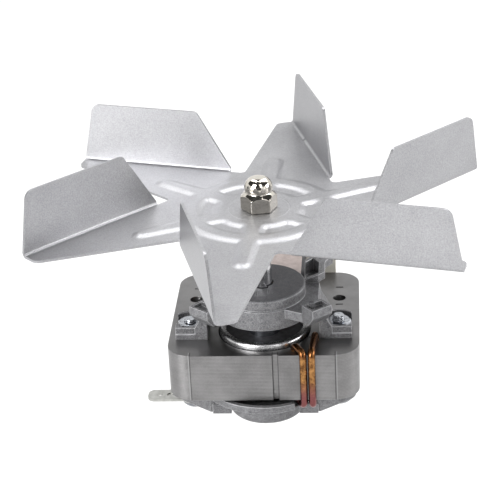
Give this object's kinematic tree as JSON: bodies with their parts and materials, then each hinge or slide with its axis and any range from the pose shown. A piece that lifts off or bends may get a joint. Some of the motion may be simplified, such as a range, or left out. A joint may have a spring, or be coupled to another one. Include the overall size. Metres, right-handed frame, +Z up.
{
  "type": "hot air fan",
  "caption": "Circulating fan for a heated chamber: pressed sheet wheel with upturned blades and a domed nut, on the shaft of a flat shaded-pole motor with die-cast brackets.",
  "frame": {"origin": "on the shaft axis at the underside of the lower bearing cup", "axes": "+Z up the shaft towards the cap nut, +Y from the shaft towards the coil, +X to the right of the motor seen from its front"},
  "size_m": [0.1376, 0.149, 0.0893],
  "materials": {
    "wheel_aluminium": "satin pressed sheet",
    "nickel_plate": "bright nickel plate on steel",
    "zinc_plate": "zinc-plated steel",
    "shaft_steel": "ground bar",
    "lamination_steel": "punched electrical steel, oiled",
    "rotor_steel": "turned laminations",
    "cage_aluminium": "die-cast, turned rim",
    "copper": "bare copper wire, heat-tinted",
    "diecast_zinc": "as cast, dull grey",
    "bobbin_plastic": "moulded, dark grey",
    "cream_plastic": "moulded, cream",
    "coil_tape": "wound insulating tape",
    "enamelled_wire": "enamelled copper winding",
    "bronze": "oil-filled sintered bronze",
    "felt": "oiled wool felt",
    "spring_steel": "blanked strip",
    "tinned_brass": "tinned blade tab"
  },
  "bodies": {
    "motor": {"stator_stack": "lamination_steel", "core_leg": "lamination_steel", "coil_bobbin": "bobbin_plastic", "coil_winding": "enamelled_wire", "coil_tape": "coil_tape", "terminal_block": "cream_plastic", "terminal_lower": "tinned_brass", "terminal_upper": "tinned_brass", "shading_ring_front_inner": "copper", "shading_ring_front_outer": "copper", "shading_ring_rear_inner": "copper", "shading_ring_rear_outer": "copper", "upper_bracket": "diecast_zinc", "lower_bracket": "diecast_zinc", "upper_bearing": "bronze", "lower_bearing": "bronze", "upper_felt": "felt", "lower_felt": "felt", "upper_retainer": "spring_steel", "lower_retainer": "spring_steel", "screw_left": "zinc_plate", "screw_right": "zinc_plate", "nut_left": "zinc_plate", "nut_right": "zinc_plate", "earth_tab": "tinned_brass"},
    "spinner": {"fan_wheel": "wheel_aluminium", "cap_nut": "nickel_plate", "seat_washer": "zinc_plate", "shaft": "shaft_steel", "rotor_core": "rotor_steel", "rotor_cage": "cage_aluminium", "upper_sleeve": "zinc_plate", "lower_sleeve": "zinc_plate", "upper_thrust_washer": "spring_steel", "lower_thrust_washer": "spring_steel"}
  },
  "joints": [
    {"name": "shaft_spin", "type": "hinge", "parent": "motor", "child": "spinner", "pos_m": [0, 0, 0], "axis": [0, 0, 1], "continuous": true}
  ]
}
